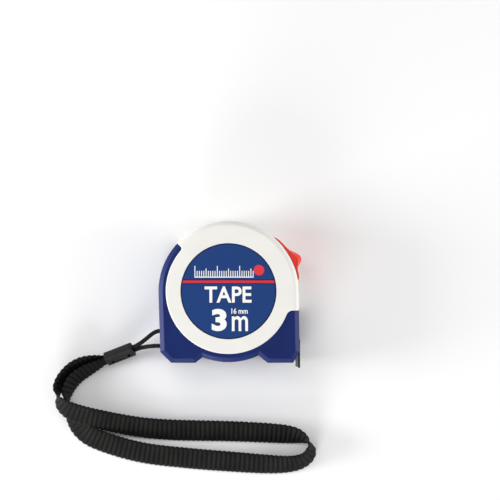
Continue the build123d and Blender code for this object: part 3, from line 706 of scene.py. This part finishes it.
# lanyard: a braided cord from the crimp, round the pin inside the case and back to the crimp
braid = {
    "d": 2.0, "strands": 8, "pitch": 5.2, "relief": 0.16,
    "step": 0.14, "sides": 32, "fineness": 14,   # fineness is the points on each span of the route
}
cordRoute = [
    (-43.21, -25.4, 6.74), (-40.83, -24.46, 7.19), (-36.9, -21.4, 8.5), (-34.0, -18.9, 9.6),
    (-31.2, -17.8, 10.0), (-21.35, -17.75, 10.0), (-21.35, -24.65, 10.0), (-31.2, -24.7, 10.0),
    (-33.9, -24.75, 9.5), (-37.2, -25.15, 7.6), (-40.15, -25.7, 5.57), (-42.42, -26.62, 5.09),
]

cordLine = routeLine("cordLine", toMetres(cordRoute), braid["fineness"])
cordRun = distances(cordLine)


def braidedTube(name, points, run, look, material):
    side = Vector((0, 0, 1)).cross((points[1] - points[0]).normalized()).normalized()
    rows, uvRows = [], []
    outer = look["d"] / 2 * mm
    for n, part, s in evenSteps(run, look["step"] * mm):
        place = points[n].lerp(points[n + 1], part)
        ahead = (points[n + 1] - points[n]).normalized()
        side = (side - ahead * side.dot(ahead)).normalized()  # carried along without twist
        up = ahead.cross(side)
        row, uvs = [], []
        for j in range(look["sides"]):
            angle = 2 * math.pi * j / look["sides"]
            turnOn = 2 * math.pi * s / (look["pitch"] * mm)
            right = math.cos(look["strands"] / 2 * (angle + turnOn))
            left = math.cos(look["strands"] / 2 * (angle - turnOn))
            swell = max(right, left)  # one strand shows over the other in turn
            radius = outer * (1 - look["relief"] * (1 - swell) / 2)
            row.append(place + (side * math.cos(angle) + up * math.sin(angle)) * radius)
            uvs.append((s, angle * outer))
        uvs.append((s, 2 * math.pi * outer))
        rows.append(row)
        uvRows.append(uvs)
    return skin(name, rows, uvRows, material)


lanyard = braidedTube("braidedLanyard", cordLine, cordRun, braid, braidYarn)
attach(lanyard, "case")
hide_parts("lanyard_cord")
print("lanyard cord", round(cordRun[-1], 4))

# webbing: x, y, lean of its width from level in degrees, lift of its lower edge, width
webRoute = [
    (-55.2, -30.4, 130, 0.45, 4.4), (-56.9, -30.85, 128, 0.4, 4.8), (-59.8, -31.0, 124, 0.2, 6.4),
    (-63.4, -31.4, 120, 0.1, 8.4), (-67.3, -32.6, 118, 0.1, 10.0), (-71.0, -35.0, 120, 0.1, 10.0),
    (-73.8, -38.2, 122, 0.1, 10.0), (-76.0, -41.6, 120, 0.3, 10.0),
    (-76.9, -45.2, 116, 1.0, 10.0), (-76.9, -48.7, 70, 2.6, 10.0), (-74.4, -52.1, 48, 4.4, 10.0),
    (-69.6, -54.8, 35, 5.6, 10.0), (-63.6, -56.5, 35, 5.4, 10.0), (-57.3, -58.0, 33, 3.8, 10.0),
    (-50.4, -59.6, 31, 2.0, 10.0), (-42.3, -61.1, 29, 0.7, 10.0), (-33.9, -62.2, 27, 0.1, 10.0),
    (-23.0, -62.8, 26, 0.1, 10.0), (-12.0, -63.0, 27, 0.1, 10.0), (-1.0, -63.2, 28, 0.1, 10.0),
    (9.6, -63.6, 30, 0.1, 10.0), (19.4, -64.1, 32, 0.1, 10.0), (26.5, -64.6, 37, 0.1, 10.0),
    (31.4, -65.4, 50, 0.1, 10.0), (34.9, -67.0, 70, 0.1, 10.0), (36.8, -69.0, 96, 0.1, 10.0),
    (37.3, -71.5, 116, 0.1, 10.0), (36.2, -74.6, 124, 0.1, 10.0), (32.6, -77.1, 130, 0.1, 10.0),
    (27.0, -78.2, 136, 0.1, 10.0), (19.4, -78.2, 143, 0.1, 10.0), (9.6, -77.6, 149, 0.1, 10.0),
    (-1.2, -76.8, 152, 0.1, 10.0), (-12.0, -76.0, 153, 0.1, 10.0), (-23.4, -74.9, 153, 0.1, 10.0),
    (-34.0, -73.8, 153, 0.1, 10.0), (-42.6, -72.2, 153, 0.1, 10.0),
    (-50.4, -70.0, 153, 0.1, 10.0), (-57.6, -67.6, 152, 0.1, 10.0),
    (-62.9, -65.3, 150, 0.1, 10.0), (-66.4, -62.4, 147, 0.1, 10.0),
    (-69.0, -58.6, 141, 0.1, 10.0), (-71.1, -54.6, 122, 0.1, 10.0), (-72.3, -50.6, 94, 0.1, 10.0),
    (-73.2, -47.2, 66, 0.1, 10.0), (-71.4, -42.4, 58, 0.1, 10.0), (-68.3, -38.7, 56, 0.1, 10.0),
    (-64.3, -36.1, 56, 0.1, 9.2), (-60.5, -34.1, 56, 0.3, 7.6), (-57.3, -32.4, 54, 1.0, 5.4),
    (-55.0, -31.65, 50, 1.4, 4.4),
]
web = {
    "thick": 1.4, "rib": 2.15, "relief": 0.62, "bead": 0.7, "crown": 0.6,
    "selvedge": 0.45, "selvedgePower": 8,        # how much the edge thins, and how suddenly
    "step": 0.215, "across": 10, "fineness": 12,
    "endWide": 3.4, "endIn": 0.5,                # gathered width in the crimp, and how far in
    "backThreads": 0.02,                         # metres between the yarn of the two faces
}
# woven webbing yarn: the rib setting paints highlights on the rib crowns and shade in the valleys
# into its colour
webYarn = yarnMaterial("wovenPolyesterBlack", {
    "base": "#1C1A18", "deep": "#010101", "threads": (500, 3600, 1), "roughness": 0.75,
    "sheen": 0.03, "rib": web["rib"]})


def webEdges(stations):  # both edges and the middle of the webbing at each station
    near, far, middle = [], [], []
    for n, (x, y, lean, lift, width) in enumerate(stations):
        before, after = stations[max(n - 1, 0)], stations[min(n + 1, len(stations) - 1)]
        ahead = Vector((after[0] - before[0], after[1] - before[1], 0)).normalized()
        tilt = math.radians(lean)
        across = Vector((-ahead.y, ahead.x, 0)) * math.cos(tilt) + Vector((0, 0, math.sin(tilt)))
        height = width * math.sin(tilt) + web["thick"] * abs(math.cos(tilt))
        centre = Vector((x, y, height / 2 + lift))
        if n in (0, len(stations) - 1):  # both ends go into the crimp, one on the other
            layer = web["thick"] / 2 * (-1 if n == 0 else 1)
            across = crimpAcross
            centre = (crimpPlace.translation / mm - crimpAlong * (crimp["long"] / 2 - web["endIn"])
                      + crimpUp * layer)
            width = web["endWide"]
        middle.append(tuple(centre * mm))
        near.append(tuple((centre - across * width / 2) * mm))
        far.append(tuple((centre + across * width / 2) * mm))
    return near, far, middle


def ribbedWeb(name, nearEdge, farEdge, middleLine, run, look, material):
    rows, uvRows = [], []
    for n, part, s in evenSteps(run, look["step"] * mm):
        low, high = (edge[n].lerp(edge[n + 1], part) for edge in (nearEdge, farEdge))
        ahead = (middleLine[n + 1] - middleLine[n]).normalized()
        across = (high - low).normalized()
        face = ahead.cross(across).normalized()
        rib = abs(math.sin(math.pi * s / (look["rib"] * mm))) ** look["crown"]
        width = (high - low).length + look["bead"] * mm * (rib - 0.5)
        middle = (low + high) / 2
        row, uvs = [], []
        for sign in (1, -1):
            for j in range(look["across"] + 1):
                t = sign * (1 - 2 * j / look["across"])
                edge = 1 - look["selvedge"] * abs(t) ** look["selvedgePower"]
                half = look["thick"] / 2 * mm * edge * (1 - look["relief"] * (1 - rib))
                row.append(middle + across * (t * width / 2) + face * (sign * half))
                uvs.append((s, t * width / 2 + (0 if sign > 0 else look["backThreads"])))
        uvs.append(uvs[0])
        rows.append(row)
        uvRows.append(uvs)
    return skin(name, rows, uvRows, material)


nearEdge, farEdge, middleLine = (
    routeLine("webLine", points, web["fineness"]) for points in webEdges(webRoute))
webRun = distances(middleLine)
wristWeb = ribbedWeb("wristWebbing", nearEdge, farEdge, middleLine, webRun, web, webYarn)
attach(wristWeb, "case")
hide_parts("wrist_strap")
print("wrist webbing", round(webRun[-1], 4))


# blade: the strip from the coil to the hook, hollow across its width and flat at the hook
bladeLook = {
    "from": 3.0, "to": 31.0, "y": -21.5, "middle": 14.0, "wide": 16.0, "thick": 0.2,
    "hollow": 1.6, "flatFrom": 27.0, "flattens": 8.0, "segments": 24, "rows": 140, "smooth": 35,
    "yellow": ("#F0C81E", "#F6D22C"), "black": "#17150F", "roughness": (0.22, 0.34), "mottle": 1.5,
    "scale": ((1.0, 0.12, 3.0), (5.0, 0.16, 4.5), (10.0, 0.22, 16.0)),  # spacing, width, length
}


def bladeMaterial(look):  # lacquered spring steel: yellow enamel, black printed millimetres
    material, tree = startMaterial("lacqueredSpringSteel")
    place = addNode(tree, "ShaderNodeTexCoord")
    axes = addNode(tree, "ShaderNodeSeparateXYZ", links={"Vector": place.outputs["Object"]})

    def lines(spacing, thick, reach):  # a row of marks from the lower edge up
        spot = addNode(tree, "ShaderNodeMath", {1: spacing / 2 * mm}, {0: axes.outputs["X"]},
                       operation="PINGPONG")
        near = addNode(tree, "ShaderNodeMath", {1: thick / 2 * mm}, {0: spot.outputs[0]},
                       operation="LESS_THAN")
        low = addNode(tree, "ShaderNodeMath", {1: (look["middle"] - look["wide"] / 2 + reach) * mm},
                      {0: axes.outputs["Z"]}, operation="LESS_THAN")
        mark = addNode(tree, "ShaderNodeMath", links={0: near.outputs[0], 1: low.outputs[0]},
                       operation="MULTIPLY")
        return mark.outputs[0]

    fine, five, ten = (lines(*marks) for marks in look["scale"])
    some = addNode(tree, "ShaderNodeMath", links={0: fine, 1: five}, operation="MAXIMUM")
    every = addNode(tree, "ShaderNodeMath", links={0: some.outputs[0], 1: ten}, operation="MAXIMUM")
    enamel = addNode(tree, "ShaderNodeTexNoise",
                     {"Scale": 1 / (look["mottle"] * mm), "Detail": 2.0},
                     {"Vector": place.outputs["Object"]})
    ground = tintRamp(tree, enamel.outputs["Fac"], (0.0, 1.0), *look["yellow"])
    tint = addNode(tree, "ShaderNodeMixRGB", {"Color2": colour(look["black"])},
                   {"Color1": ground, "Fac": every.outputs[0]})
    gloss = glossRange(tree, enamel.outputs["Fac"], *look["roughness"], ends=(0.0, 1.0))
    finishMaterial(tree, addNode(tree, "ShaderNodeBsdfPrincipled", {"IOR": 1.5},
                                 {"Base Color": tint.outputs["Color"], "Roughness": gloss}))
    return material


enamelSteel = bladeMaterial(bladeLook)
bpy.ops.object.select_all(action="DESELECT")
bpy.ops.mesh.primitive_grid_add(x_subdivisions=bladeLook["rows"],
                                y_subdivisions=bladeLook["segments"], size=1)
strip = bpy.context.object
strip.name = "curvedBlade"
for v in strip.data.vertices:
    x = bladeLook["from"] + (v.co.x + 0.5) * (bladeLook["to"] - bladeLook["from"])
    curved = min(1, max(0, (bladeLook["flatFrom"] - x) / bladeLook["flattens"]))
    t = v.co.y * 2
    v.co = Vector((x, bladeLook["y"] + bladeLook["hollow"] * curved * t * t,
                   bladeLook["middle"] + t * bladeLook["wide"] / 2)) * mm
selectOnly(strip)
wall = strip.modifiers.new("wall", "SOLIDIFY")
wall.thickness = bladeLook["thick"] * mm
wall.offset = 0
bpy.ops.object.modifier_apply(modifier="wall")
bpy.ops.object.mode_set(mode="EDIT")
bpy.ops.mesh.select_all(action="SELECT")
bpy.ops.mesh.normals_make_consistent(inside=False)
bpy.ops.object.mode_set(mode="OBJECT")
bpy.ops.object.shade_smooth_by_angle(angle=math.radians(bladeLook["smooth"]))
strip.data.materials.append(enamelSteel)
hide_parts("blade_lead")
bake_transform(strip)
paint(enamelSteel, "blade_coil")
print("blade")

size = {"cad": cadBox, "visual": [list(corner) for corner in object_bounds()]}
